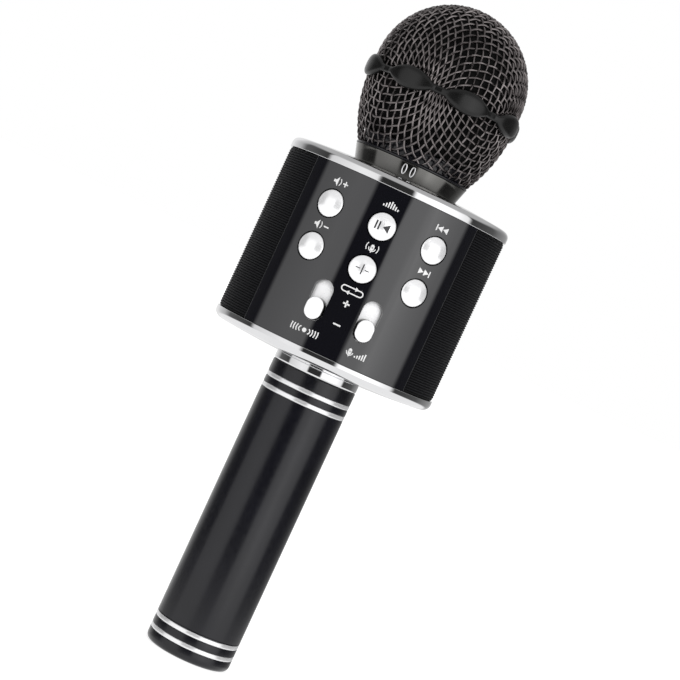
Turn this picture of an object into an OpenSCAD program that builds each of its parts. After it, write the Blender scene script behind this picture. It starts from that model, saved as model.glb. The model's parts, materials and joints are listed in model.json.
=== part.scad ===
// Karaoke microphone: woven ball grille, round speaker body, turned handle.
// It stands on its tail: +Z runs along the axis to the grille, the control panel faces -Y,
// and the origin is the centre of the flat tail face. Millimetres.

/* [Handle] */
// Outer diameter of the handle
handle_d = 31; // [29:0.5:33]
// Wall thickness of the handle tube
handle_wall = 2; // [1.6:0.1:2.4]
// Height of the screw-on tail cap
tail_cap_h = 10.9; // [10.6:0.1:13]
// Length of the handle tube above the tail cap
tube_len = 95.9; // [94:0.1:110]
// Height of the chrome collar between the handle and the speaker body
handle_collar_h = 3.2; // [2:0.1:5]
// Width of each chrome trim ring
ring_w = 1.8; // [1:0.1:2.2]
// Depth of the groove that each trim ring sits in
ring_depth = 0.6; // [0.3:0.1:0.9]

/* [Speaker body] */
// Diameter of the speaker body over the cloth and the panels
body_d = 81; // [80:0.5:84]
// Height of the panels between the two end plates
panel_h = 59.6; // [59.6:0.1:66]
// Thickness of the front and rear panels
panel_t = 2.2; // [1.8:0.1:2.4]
// Half of the angle that the front panel covers
front_half = 46; // [42:1:50]
// Half of the angle that the rear panel covers
rear_half = 38; // [30:1:44]
// How far the end plates stand out past the cloth
plate_lip = 0.3; // [0.1:0.1:1]
// Height of an end plate at its rim
rim_h = 3.7; // [3:0.1:5]
// Rise of an end plate from its rim to its middle
crown_h = 2.4; // [1.5:0.1:3]
// Radius of the top end plate's rounded rim
top_edge_r = 2.2; // [1:0.1:2.8]
// Radius of the bottom end plate's rounded rim
low_edge_r = 2.7; // [1:0.1:2.8]
// Thickness of the speaker cloth
cloth_t = 0.6; // [0.4:0.1:1]

/* [Controls] */
// Diameter of a push button
button_d = 9.2; // [8:0.1:9.6]
// Gap round a push button
button_gap = 0.45; // [0.3:0.05:0.6]
// How far a push button stands out of the panel
button_out = 1.8; // [1:0.1:2.5]
// Radius of a push button's domed face
button_dome_r = 7.5; // [6:0.5:14]
// Travel of a push button
button_travel = 0.8; // [0.4:0.1:0.8]
// Angle from the middle of the panel to the outer columns of buttons
column_angle = 27.8; // [26:0.1:29]
// Height of the upper row of buttons above the lower edge of the panel
upper_row = 46.7; // [46:0.1:48]
// Height of the lower row of buttons above the lower edge of the panel
lower_row = 31.3; // [31:0.1:32.5]
// Angle from the middle of the panel to each slide control
slider_angle = 12.7; // [12.5:0.1:15]
// Width of a slide control's slot
slot_w = 6.9; // [6:0.1:7.1]
// Length of a slide control's slot
slot_l = 14.5; // [13:0.1:14.6]
// Height of the slots' lower ends above the lower edge of the panel
slot_low = 8.9; // [8.4:0.1:9.2]
// Travel of a slide control
slider_travel = 6; // [4:0.1:6]

/* [Grille] */
// Radius of the grille's upper dome
dome_r = 27.2; // [26:0.1:28]
// Thickness of the woven wire mesh
mesh_t = 1; // [0.8:0.1:1.4]
// Height of the neck collar under the grille
neck_h = 5.5; // [4:0.1:7]
// Number of raised pads round the anti-roll ring
pad_count = 8; // [6:1:10]
// How far the pads stand out past the mesh
pad_out = 2.2; // [1.5:0.1:3]
// Width of a pad, which is shaped like a lens
pad_w = 20; // [14:0.5:21]
// Height of a pad at its middle
pad_h = 7.8; // [6:0.1:8.4]

/* [Battery] */
// Diameter of the rechargeable cell
cell_d = 18.4; // [16:0.1:18.6]
// Length of the rechargeable cell
cell_l = 65; // [60:0.5:66]

/* [Hidden] */
$fn = 96;
eps = 0.01;

// Heights along the axis
tube_z = tail_cap_h;
collar_z = tube_z + tube_len;
plate_low_z = collar_z + handle_collar_h;
handle_r = handle_d / 2;
bore_r = handle_r - handle_wall;
spigot_r = bore_r - 0.2;
body_r = body_d / 2;
plate_r = body_r + plate_lip;
crown_r = (plate_r * plate_r + crown_h * crown_h) / (2 * crown_h);
neck_low_r = 19;
neck_top_r = 20.7;
low_seat_r = handle_r + 0.2;
top_seat_r = neck_low_r + 0.5;
function crown_z(r) = rim_h + crown_h - crown_r + sqrt(crown_r * crown_r - r * r);
panel_z = plate_low_z + crown_z(low_seat_r);
panel_top = panel_z + panel_h;
neck_z = panel_top + crown_z(top_seat_r);
grille_z = neck_z + neck_h;
body_mid_z = panel_z + panel_h / 2;

// Radii inside the speaker body
panel_in_r = body_r - panel_t;
frame_out_r = body_r - cloth_t - 0.05;
frame_in_r = frame_out_r - 1.7;
seam_gap_deg = 0.3;
side_mid_deg = (front_half + 180 - rear_half) / 2;
side_half_deg = (180 - rear_half - front_half) / 2 - seam_gap_deg;
chassis_r = 38;
disc_t = 2;
screw_circle_r = 24;
screw_shank_r = 0.9;
wire_hole_r = 12;
board_gap = 2.2;
baffle_x = 27;
baffle_half_y = 24;
driver_r = 21;
driver_hole_r = 19;
flex_r = 32.4;
flex_t = 1.2;
flex_half_deg = 37;
board_y = 22;
board_t = 1.6;
board_half_x = 17;

// Push buttons, placed as [angle, height]
flange_r = button_d / 2 + 0.7;
flange_low = 36.4;
flange_top = 37.2;
hole_r = button_d / 2 + button_gap;
upper_z = panel_z + upper_row;
lower_z = panel_z + lower_row;
BUTTON_PLACES = [
  [-column_angle, upper_z], [-column_angle, lower_z],
  [0, upper_z], [0, lower_z],
  [column_angle, upper_z], [column_angle, lower_z]
];

// Slide controls
slot_mid_z = panel_z + slot_low + slot_l / 2;
knob_w = slot_w - 0.8;
end_gap = 0.4;
knob_l = slot_l - slider_travel - 2 * end_gap;
knob_z = panel_z + slot_low + end_gap + knob_l / 2;
knob_top = body_r + 2.1;
skirt_in = panel_in_r - 0.55;
skirt_out = panel_in_r - 0.15;
skirt_w = slot_w + 0.9;
skirt_l = slot_l + slider_travel + 0.8;
pot_top = 35.8;
lever_low = 34.5;

// Rear ports, all on the middle line of the rear panel
port_back = board_y + board_t;
port_gap = 0.15;
led_r = 1.1;
power_knob_w = 4;
power_skirt_w = 6.4;
power_skirt_l = 12.8;
jack_barrel_r = 3.15;
usb_w = 8.4;
usb_h = 2.6;
usb_shell = 0.35;
card_w = 11.2;
card_h = 1;
card_shell_x = 0.6;
card_shell_z = 0.5;
led_z = panel_z + 54;
power_z = panel_z + 44;
jack_z = panel_z + 32;
usb_z = panel_z + 20;
card_z = panel_z + 9;
power_travel = 3.6;
power_knob_l = 4;
power_slot_l = power_knob_l + power_travel + 0.8;
jack_bore_r = 1.8;
jack_depth = 14.5;

// Grille
dome_z = grille_z + 31.5;
ring_z = grille_z + 25.7;
low_arc_r = 50;
low_arc_x = -22.65;
ring_half_h = 2.5;
pad_first_deg = 18;
mesh_low_z = grille_z + 1.2;
pin_h = 5.7;
capsule_z = grille_z + 9.7;
capsule_r = 12.5;
function low_mesh_r(z) = low_arc_x + sqrt(low_arc_r * low_arc_r - (z - ring_z) * (z - ring_z));

// Battery cell
cell_low = tail_cap_h + 7.5;
cell_pole_h = 1.4;

// Trim rings, as heights of their middles
TAIL_RINGS = [5.2, 9.6];
UPPER_RINGS = [collar_z - 9.5, collar_z - 5.5];

// ---- shared shapes ----

// Puts a child on the speaker body: its +Z points straight out at this angle from the front.
module on_body(angle, z) {
  rotate([0, 0, angle]) translate([0, 0, z]) rotate([90, 0, 0]) children();
}

// A wall that follows the speaker body, centred on this angle from the front.
module wall(r_in, r_out, z, h, mid, half) {
  rotate([0, 0, mid - half - 90])
    rotate_extrude(angle = 2 * half)
      translate([r_in, z]) square([r_out - r_in, h]);
}

// A slot outline with round ends, w wide and l long.
module slot_outline(w, l) {
  square([w, l - w], center = true);
  for (side = [-1, 1]) translate([0, side * (l - w) / 2]) circle(d = w);
}

// A lens outline between two equal arcs, w wide and h tall.
module lens_outline(w, h) {
  arc_r = (w * w + h * h) / (4 * h);
  intersection_for (side = [-1, 1]) translate([0, side * (arc_r - h / 2)]) circle(r = arc_r);
}

// Cuts an outline through the wall of a panel.
module through_panel() {
  translate([0, 0, panel_in_r - 2]) linear_extrude(panel_t + 5) children();
}

module tube(r_out, r_in, z, h) {
  translate([0, 0, z]) difference() {
    cylinder(r = r_out, h = h);
    translate([0, 0, -1]) cylinder(r = r_in, h = h + 2);
  }
}

// A round bar turned with a groove for each trim ring.
module ring_grooves(middles) {
  for (z = middles) difference() {
    translate([0, 0, z - ring_w / 2]) cylinder(r = handle_r + 1, h = ring_w);
    translate([0, 0, z - ring_w]) cylinder(r = handle_r - ring_depth, h = 2 * ring_w);
  }
}

module trim_rings(middles) {
  for (z = middles) tube(handle_r, handle_r - ring_depth, z - ring_w / 2, ring_w);
}

// ---- grille head ----

module grille_dome() {
  color("dimgray") difference() {
    translate([0, 0, dome_z]) sphere(r = dome_r);
    translate([0, 0, dome_z]) sphere(r = dome_r - mesh_t);
    translate([0, 0, ring_z + ring_half_h - 100]) cube([200, 200, 200], center = true);
  }
}

module grille_lower() {
  low = mesh_low_z;
  high = ring_z - ring_half_h;
  steps = 12;
  levels = [for (i = [0:steps]) low + (high - low) * i / steps];
  outer = [for (z = levels) [low_mesh_r(z), z]];
  inner = [for (i = [steps:-1:0]) [low_mesh_r(levels[i]) - mesh_t, levels[i]]];
  color("dimgray") rotate_extrude() polygon(concat(outer, inner));
}

module anti_roll_ring() {
  ring_in = dome_r - 1.3;
  ring_out = dome_r + 0.9;
  ring_edge = 0.6;
  pad_in = dome_r + 0.1;
  pad_r = dome_r + pad_out;
  pad_half = pad_h / 2;
  bevel = 0.9;
  color("#1c1c1e") {
    rotate_extrude() polygon([
      [ring_in, ring_z - ring_half_h], [ring_out, ring_z - ring_half_h + ring_edge],
      [ring_out, ring_z + ring_half_h - ring_edge], [ring_in, ring_z + ring_half_h]
    ]);
    intersection() {
      rotate_extrude() polygon([
        [pad_in, ring_z - pad_half], [pad_r - bevel, ring_z - pad_half],
        [pad_r, ring_z - pad_half + bevel], [pad_r, ring_z + pad_half - bevel],
        [pad_r - bevel, ring_z + pad_half], [pad_in, ring_z + pad_half]
      ]);
      for (i = [0:pad_count - 1]) on_body(pad_first_deg + i * 360 / pad_count, ring_z)
        linear_extrude(pad_r + 1) lens_outline(pad_w, pad_h);
    }
  }
}

module grille_collar() {
  lip_r = low_mesh_r(mesh_low_z);
  rim_r = lip_r - mesh_t - 0.05;
  inner_r = 17.7;
  inner_h = 4.3;
  color("#2a2926") difference() {
    union() {
      translate([0, 0, grille_z]) cylinder(r = lip_r, h = mesh_low_z - grille_z);
      translate([0, 0, mesh_low_z]) cylinder(r = rim_r, h = inner_h);
    }
    translate([0, 0, grille_z - 1]) cylinder(r = inner_r, h = 8);
  }
}

module foam_liner() {
  foam_t = 3;
  out_r = dome_r - mesh_t - 0.4;
  in_r = out_r - foam_t;
  skirt_low = grille_z + 6;
  skirt_top = grille_z + 14;
  steps = 10;
  outer = [for (i = [0:steps]) [out_r * cos(90 * i / steps), dome_z + out_r * sin(90 * i / steps)]];
  inner = [for (i = [steps:-1:0]) [in_r * cos(90 * i / steps), dome_z + in_r * sin(90 * i / steps)]];
  skirt = [
    [21.2, skirt_top], [18.6, skirt_low], [21, skirt_low],
    [low_mesh_r(skirt_top) - mesh_t - 0.6, skirt_top]
  ];
  color("#303030") rotate_extrude() polygon(concat(skirt, outer, inner));
}

module capsule_mount() {
  flange_z = grille_z + pin_h;
  flange_t = 2;
  cup_h = 9;
  cup_r = 14.6;
  flange_out_r = 16.5;
  lead_hole_r = 6;
  color("#26262a") difference() {
    union() {
      translate([0, 0, flange_z]) cylinder(r = flange_out_r, h = flange_t);
      translate([0, 0, flange_z + flange_t]) cylinder(r = cup_r, h = cup_h);
    }
    translate([0, 0, capsule_z]) cylinder(r = capsule_r + 0.1, h = cup_h - 1);
    translate([0, 0, flange_z - 0.7]) cylinder(r = lead_hole_r, h = 8);
  }
}

module mic_capsule() {
  case_h = 11;
  face_h = 1.4;
  color("silver") {
    translate([0, 0, capsule_z]) cylinder(r = capsule_r, h = case_h);
    translate([0, 0, capsule_z + case_h]) cylinder(r = capsule_r - 1.5, h = face_h);
  }
}

// The collar ends in a round pin that the grille head sits on.
module neck_collar() {
  pin_r = 17.5;
  pin_bore_r = 14;
  color("lightgray") difference() {
    union() {
      translate([0, 0, neck_z]) cylinder(r1 = neck_low_r, r2 = neck_top_r, h = neck_h);
      translate([0, 0, grille_z]) cylinder(r = pin_r, h = pin_h);
    }
    translate([0, 0, neck_z - 1]) cylinder(r = pin_bore_r, h = neck_h + 8);
  }
}

// ---- speaker body ----

// Outline of an end plate's section: rim, rounded edge, crowned face, flat seat and hollow back.
module end_plate_section(seat_r, hole, edge_r) {
  steps = 8;
  face_r = plate_r - edge_r;
  seat_z = crown_z(seat_r);
  back = 2;
  wall_in = body_r - 4;
  corner = [for (i = [0:steps]) let (a = 90 * i / steps) [
    face_r + edge_r * cos(a), crown_z(face_r) - edge_r + edge_r * sin(a)
  ]];
  face = [for (i = [1:steps]) let (r = face_r + (seat_r - face_r) * i / steps) [r, crown_z(r)]];
  hollow = [for (i = [0:steps]) let (r = seat_r + (wall_in - seat_r) * i / steps) [
    r, crown_z(r) - back
  ]];
  polygon(concat(
    [[plate_r, 0]], corner, face,
    [[hole, seat_z], [hole, seat_z - back]], hollow,
    [[wall_in, 0]]
  ));
}

module screw_bosses() {
  boss_r = 2.6;
  pilot_depth = 4;
  for (a = [45:90:315]) rotate([0, 0, a]) translate([screw_circle_r, 0, 0]) difference() {
    cylinder(r = boss_r, h = crown_z(screw_circle_r) - 1);
    translate([0, 0, -1]) cylinder(r = screw_shank_r + 0.05, h = pilot_depth + 1);
  }
}

module end_plate(seat_r, edge_r) {
  rotate_extrude() end_plate_section(seat_r, wire_hole_r, edge_r);
  screw_bosses();
}

module top_end_plate() {
  color("gainsboro") translate([0, 0, panel_top]) end_plate(top_seat_r, top_edge_r);
}

module bottom_end_plate() {
  color("gainsboro") translate([0, 0, panel_z]) mirror([0, 0, 1]) end_plate(low_seat_r, low_edge_r);
}

module front_panel() {
  color("#121214") difference() {
    wall(panel_in_r, body_r, panel_z, panel_h, 0, front_half);
    for (place = BUTTON_PLACES) on_body(place[0], place[1]) through_panel() circle(r = hole_r);
    for (side = [-1, 1])
      on_body(side * slider_angle, slot_mid_z) through_panel() slot_outline(slot_w, slot_l);
  }
}

module rear_panel() {
  color("#121214") difference() {
    wall(panel_in_r, body_r, panel_z, panel_h, 180, rear_half);
    on_body(180, led_z) through_panel() circle(r = led_r + port_gap);
    on_body(180, power_z) through_panel() square([power_knob_w + 0.8, power_slot_l], center = true);
    on_body(180, jack_z) through_panel() circle(r = jack_barrel_r + port_gap);
    on_body(180, usb_z) through_panel() rotate(90)
      slot_outline(usb_h + 2 * (usb_shell + port_gap), usb_w + 2 * (usb_shell + port_gap));
    on_body(180, card_z) through_panel()
      square([card_w + 2 * (card_shell_x + 0.2), card_h + 2 * card_shell_z], center = true);
  }
}

// A thin wall behind the cloth with rows of long sound slots.
module side_frame(side) {
  rows = 9;
  rail_h = 4;
  pitch = (panel_h - 2 * rail_h) / rows;
  slot_share = 0.6;
  post_deg = 8;
  first = panel_z + rail_h + pitch * (1 - slot_share) / 2;
  color("#222224") difference() {
    wall(frame_in_r, frame_out_r, panel_z, panel_h, side * side_mid_deg, side_half_deg);
    for (row = [0:rows - 1])
      wall(
        frame_in_r - 1, frame_out_r + 1, first + pitch * row, pitch * slot_share,
        side * side_mid_deg, side_half_deg - post_deg
      );
  }
}

module side_cloth(side) {
  color("#1b1b1d")
    wall(body_r - cloth_t, body_r, panel_z, panel_h, side * side_mid_deg, side_half_deg);
}

module chassis_disc(z) {
  translate([0, 0, z]) difference() {
    cylinder(r = chassis_r, h = disc_t);
    translate([0, 0, -1]) cylinder(r = wire_hole_r, h = disc_t + 2);
    for (a = [45:90:315])
      rotate([0, 0, a]) translate([screw_circle_r, 0, -1])
        cylinder(r = screw_shank_r + 0.3, h = disc_t + 2);
  }
}

// Two discs joined by a baffle behind each speaker, two front posts and two rear posts.
module inner_chassis() {
  low = panel_z + disc_t;
  inner_h = panel_h - 2 * disc_t;
  baffle_t = 2;
  front_post_deg = 39.5;
  front_post_y = -37;
  front_post_l = 7;
  rear_post_x = 18.5;
  rear_post_l = 6;
  post_t = 2;
  color("#3a3a3e") {
    chassis_disc(panel_z);
    chassis_disc(panel_top - disc_t);
    difference() {
      for (side = [-1, 1])
        translate([side * (baffle_x + baffle_t / 2) - baffle_t / 2, -baffle_half_y, low])
          cube([baffle_t, 2 * baffle_half_y, inner_h]);
      translate([0, 0, body_mid_z]) rotate([0, 90, 0])
        cylinder(r = driver_hole_r, h = 2 * body_r, center = true);
    }
    for (side = [-1, 1]) {
      rotate([0, 0, side * front_post_deg]) translate([-post_t / 2, front_post_y, low])
        cube([post_t, front_post_l, inner_h]);
      translate([side * rear_post_x - post_t / 2, board_y - post_t, low])
        cube([post_t, rear_post_l, inner_h]);
    }
  }
}

// Eight small screws that hold the end plates to the chassis from inside.
module end_plate_screws() {
  head_r = 2.2;
  head_h = 1.3;
  reach = 3;
  color("silver") for (a = [45:90:315]) rotate([0, 0, a]) translate([screw_circle_r, 0, 0]) {
    translate([0, 0, panel_z + disc_t]) cylinder(r = head_r, h = head_h);
    translate([0, 0, panel_z - reach]) cylinder(r = screw_shank_r, h = disc_t + reach);
    translate([0, 0, panel_top - disc_t - head_h]) cylinder(r = head_r, h = head_h);
    translate([0, 0, panel_top - disc_t]) cylinder(r = screw_shank_r, h = disc_t + reach);
  }
}

// ---- speakers ----

module facing_side(side) {
  translate([side * (baffle_x + 2), 0, body_mid_z]) rotate([0, side * 90, 0]) children();
}

module speaker_basket(side) {
  seat_in_r = 17.4;
  cup_depth = 6;
  color("#4a4a4e") facing_side(side) {
    tube(driver_r, seat_in_r, 0, 1.5);
    tube(seat_in_r + 1.2, seat_in_r, -cup_depth, cup_depth);
    tube(seat_in_r + eps, 9, -cup_depth, 1.2);
  }
}

// The section runs over the soft surround, down the cone and across the dust cap, and back.
module speaker_cone(side) {
  color("#2b2b2d") facing_side(side) {
    rotate_extrude() polygon([
      [17.2, 0.2], [17.2, 1.2], [15.2, 1.9], [14, 1.2], [6, -3.2], [3, -2.1], [0, -1.7],
      [0, -2.3], [3, -2.8], [6, -4], [14, 0.4], [15.2, 1.2]
    ]);
  }
}

module speaker_magnet(side) {
  magnet_r = 14;
  magnet_t = 8;
  plate_t = 1.5;
  back = -6 - magnet_t;
  color("dimgray") facing_side(side) {
    translate([0, 0, back]) cylinder(r = magnet_r, h = magnet_t);
    translate([0, 0, back - plate_t]) cylinder(r = magnet_r - 3, h = plate_t);
  }
}

// ---- electronics ----

module control_board() {
  color("darkgreen")
    wall(flex_r - flex_t, flex_r, panel_z + board_gap, panel_h - 2 * board_gap, 0, flex_half_deg);
}

module button_switches() {
  case_w = 6;
  case_h = 2.8;
  plunger_r = 1.75;
  plunger_top = flange_low - button_travel - 0.05;
  color("#101012") for (place = BUTTON_PLACES) on_body(place[0], place[1]) {
    translate([-case_w / 2, -case_w / 2, flex_r + eps]) cube([case_w, case_w, case_h]);
    translate([0, 0, flex_r + case_h]) cylinder(r = plunger_r, h = plunger_top - flex_r - case_h);
  }
}

module slide_pots() {
  case_w = 7.2;
  case_l = 20;
  track_w = 1.8;
  track_l = 16;
  color("#5a5a5e") for (side = [-1, 1]) on_body(side * slider_angle, slot_mid_z) difference() {
    translate([-case_w / 2, -case_l / 2, flex_r + eps]) cube([case_w, case_l, pot_top - flex_r - eps]);
    translate([-track_w / 2, -track_l / 2, lever_low - 0.3]) cube([track_w, track_l, 5]);
  }
}

module main_board() {
  color("darkgreen")
    translate([-board_half_x, board_y, panel_z + board_gap])
      cube([2 * board_half_x, board_t, panel_h - 2 * board_gap]);
}

module charging_port() {
  front = body_r - 0.6;
  tongue_t = 0.7;
  tongue_w = 6.6;
  mouth = 6.5;
  color("silver") on_body(180, usb_z) difference() {
    translate([0, 0, port_back]) linear_extrude(front - port_back) rotate(90)
      slot_outline(usb_h + 2 * usb_shell, usb_w + 2 * usb_shell);
    translate([0, 0, front - mouth]) difference() {
      linear_extrude(mouth + 1) rotate(90) slot_outline(usb_h, usb_w);
      translate([-tongue_w / 2, -tongue_t / 2, -1]) cube([tongue_w, tongue_t, mouth + 0.1]);
    }
  }
}

module headphone_jack() {
  front = body_r - 0.1;
  block = 8;
  block_h = 11;
  color("#1a1a1a") on_body(180, jack_z) difference() {
    union() {
      translate([-block / 2, -block / 2, port_back]) cube([block, block, block_h]);
      translate([0, 0, port_back + block_h])
        cylinder(r = jack_barrel_r, h = front - port_back - block_h);
    }
    translate([0, 0, front - jack_depth]) cylinder(r = jack_bore_r, h = jack_depth + 1);
  }
}

module card_slot() {
  front = body_r - 1.4;
  shell_w = card_w + 2 * card_shell_x;
  shell_h = card_h + 0.8;
  color("silver") on_body(180, card_z) difference() {
    translate([-shell_w / 2, -shell_h / 2, port_back]) cube([shell_w, shell_h, front - port_back]);
    translate([-card_w / 2, -card_h / 2, port_back + 1]) cube([card_w, card_h, front - port_back]);
  }
}

module status_led() {
  color("white") on_body(180, led_z)
    translate([0, 0, port_back]) cylinder(r = led_r, h = body_r - port_back);
}

// The case's well is where the knob's lever moves.
power_case_h = 12;
power_well = 4;
module power_switch_case() {
  case_w = 7;
  case_l = 14;
  well_w = 2.8;
  well_l = 11;
  color("silver") on_body(180, power_z) difference() {
    translate([-case_w / 2, -case_l / 2, port_back]) cube([case_w, case_l, power_case_h]);
    translate([-well_w / 2, -well_l / 2, port_back + power_case_h - power_well])
      cube([well_w, well_l, power_well + 2]);
  }
}

module power_switch_knob() {
  rest_z = power_z - power_travel / 2;
  lever_z = port_back + power_case_h - power_well + 0.4;
  lever = 2;
  color("#d8d8da") {
    intersection() {
      wall(skirt_in, skirt_out, power_z - 20, 40, 180, 20);
      on_body(180, rest_z) through_panel() square([power_skirt_w, power_skirt_l], center = true);
    }
    on_body(180, rest_z) {
      translate([-power_knob_w / 2, -power_knob_l / 2, skirt_in + 0.1])
        cube([power_knob_w, power_knob_l, body_r + 0.6 - skirt_in]);
      translate([-lever / 2, -lever / 2, lever_z]) cube([lever, lever, skirt_in + 0.2 - lever_z]);
    }
  }
}

// ---- push buttons and slide controls ----

module push_button(place) {
  cap_r = button_d / 2;
  steps = 8;
  dome_mid = body_r + button_out - button_dome_r;
  edge_deg = asin(cap_r / button_dome_r);
  dome = [for (i = [steps:-1:0]) [
    button_dome_r * sin(edge_deg * i / steps), dome_mid + button_dome_r * cos(edge_deg * i / steps)
  ]];
  color("whitesmoke") on_body(place[0], place[1]) {
    translate([0, 0, flange_low]) cylinder(r = flange_r, h = flange_top - flange_low);
    rotate_extrude() polygon(concat([[0, flange_top - eps], [cap_r, flange_top - eps]], dome));
  }
}

module slide_control(side) {
  lever_w = 1.2;
  lever_l = 3;
  color("whitesmoke") {
    intersection() {
      wall(skirt_in, skirt_out, panel_z, panel_h, side * slider_angle, 12);
      on_body(side * slider_angle, knob_z) through_panel() slot_outline(skirt_w, skirt_l);
    }
    on_body(side * slider_angle, knob_z) {
      translate([0, 0, skirt_in + 0.1]) linear_extrude(knob_top - skirt_in - 0.1)
        slot_outline(knob_w, knob_l);
      translate([-lever_w / 2, -lever_l / 2, lever_low])
        cube([lever_w, lever_l, skirt_in + 0.2 - lever_low]);
    }
  }
}

// ---- handle ----

module handle_collar() {
  spigot_h = 8;
  inner_r = 11;
  color("gainsboro") difference() {
    union() {
      translate([0, 0, collar_z]) cylinder(r = handle_r, h = handle_collar_h);
      translate([0, 0, collar_z - spigot_h]) cylinder(r = spigot_r, h = spigot_h);
    }
    translate([0, 0, collar_z - spigot_h - 1]) cylinder(r = inner_r, h = spigot_h + handle_collar_h + 2);
  }
}

module handle_tube() {
  color("#1d1d1f") difference() {
    tube(handle_r, bore_r, tube_z, tube_len);
    ring_grooves(UPPER_RINGS);
  }
}

module upper_trim_rings() {
  color("gainsboro") trim_rings(UPPER_RINGS);
}

module tail_trim_rings() {
  color("gainsboro") trim_rings(TAIL_RINGS);
}

module tail_cap() {
  edge_r = 2.4;
  spigot_h = 6;
  pocket_r = 10;
  floor_t = 4;
  corner = [for (i = [0:6]) [
    handle_r - edge_r + edge_r * sin(15 * i), edge_r - edge_r * cos(15 * i)
  ]];
  spigot = [
    [spigot_r, tail_cap_h], [spigot_r, tail_cap_h + spigot_h], [0, tail_cap_h + spigot_h]
  ];
  color("#1d1d1f") difference() {
    rotate_extrude() polygon(concat([[0, 0]], corner, [[handle_r, tail_cap_h]], spigot));
    ring_grooves(TAIL_RINGS);
    translate([0, 0, floor_t]) cylinder(r = pocket_r, h = tail_cap_h + spigot_h);
  }
}

module cell_sleeve() {
  low = tail_cap_h + 7;
  sleeve_h = cell_l + 4;
  inner_r = cell_d / 2 + 0.2;
  outer_r = inner_r + 1;
  lead_hole_r = 3;
  rib_h = 3;
  color("#e0e0da") {
    tube(outer_r, inner_r, low, sleeve_h);
    tube(outer_r, lead_hole_r, low + sleeve_h, 1.2);
    for (z = [low + 4, low + cell_l - 8]) tube(bore_r - 0.1, outer_r - eps, z, rib_h);
  }
}

module battery_cell() {
  color("#2f6fae") {
    translate([0, 0, cell_low]) cylinder(r = cell_d / 2, h = cell_l);
    translate([0, 0, cell_low + cell_l]) cylinder(r = 3, h = cell_pole_h);
  }
}

module cell_top_contact() {
  color("gold") translate([0, 0, cell_low + cell_l + cell_pole_h]) cylinder(r = 7, h = 0.6);
}

// Helical spring in the tail cap, as rings of points swept along the helix.
spring_wire_r = 0.5;
spring_r = 6;
spring_turns = 4;
spring_sides = 6;
spring_steps = 16 * spring_turns;
spring_low = 4 + spring_wire_r;
spring_high = tail_cap_h + 7.4 - spring_wire_r;
spring_slope = atan((spring_high - spring_low) / (2 * PI * spring_r * spring_turns));
function spring_point(i, j) =
  let (
    turn = 360 * spring_turns * i / spring_steps,
    across = spring_wire_r * cos(360 * j / spring_sides),
    up = spring_wire_r * sin(360 * j / spring_sides)
  )
  [
    (spring_r + across) * cos(turn) + up * sin(spring_slope) * sin(turn),
    (spring_r + across) * sin(turn) - up * sin(spring_slope) * cos(turn),
    spring_low + (spring_high - spring_low) * i / spring_steps + up * cos(spring_slope)
  ];

module cell_spring() {
  last = spring_steps * spring_sides;
  walls = [for (i = [0:spring_steps - 1], j = [0:spring_sides - 1]) let (
      a = i * spring_sides + j,
      b = i * spring_sides + (j + 1) % spring_sides
    ) [a, a + spring_sides, b + spring_sides, b]];
  start = [[for (j = [0:spring_sides - 1]) j]];
  finish = [[for (j = [spring_sides - 1:-1:0]) last + j]];
  color("silver") polyhedron(
    points = [for (i = [0:spring_steps], j = [0:spring_sides - 1]) spring_point(i, j)],
    faces = concat(walls, start, finish)
  );
}

// ---- one line for each node ----

grille_dome();
grille_lower();
anti_roll_ring();
grille_collar();
foam_liner();
capsule_mount();
mic_capsule();
neck_collar();
top_end_plate();
bottom_end_plate();
front_panel();
rear_panel();
side_frame(-1);  // side_frame_left
side_frame(1);  // side_frame_right
side_cloth(-1);  // side_cloth_left
side_cloth(1);  // side_cloth_right
inner_chassis();
end_plate_screws();
speaker_basket(-1);  // speaker_basket_left
speaker_basket(1);  // speaker_basket_right
speaker_cone(-1);  // speaker_cone_left
speaker_cone(1);  // speaker_cone_right
speaker_magnet(-1);  // speaker_magnet_left
speaker_magnet(1);  // speaker_magnet_right
control_board();
button_switches();
slide_pots();
main_board();
charging_port();
headphone_jack();
card_slot();
status_led();
power_switch_case();
power_switch_knob();
push_button(BUTTON_PLACES[0]);  // button_volume_up
push_button(BUTTON_PLACES[1]);  // button_volume_down
push_button(BUTTON_PLACES[2]);  // button_play
push_button(BUTTON_PLACES[3]);  // button_mode
push_button(BUTTON_PLACES[4]);  // button_previous
push_button(BUTTON_PLACES[5]);  // button_next
slide_control(-1);  // slider_echo
slide_control(1);  // slider_volume
handle_collar();
handle_tube();
upper_trim_rings();
tail_trim_rings();
tail_cap();
cell_sleeve();
battery_cell();
cell_top_contact();
cell_spring();
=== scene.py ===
"""Karaoke microphone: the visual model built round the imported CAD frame.

Lengths are in millimetres until a mesh is made. Angles round the body are in degrees from the
front (-Y), positive towards +X.
"""

import json
import math

import bpy
import numpy as np
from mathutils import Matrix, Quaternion, Vector


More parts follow.
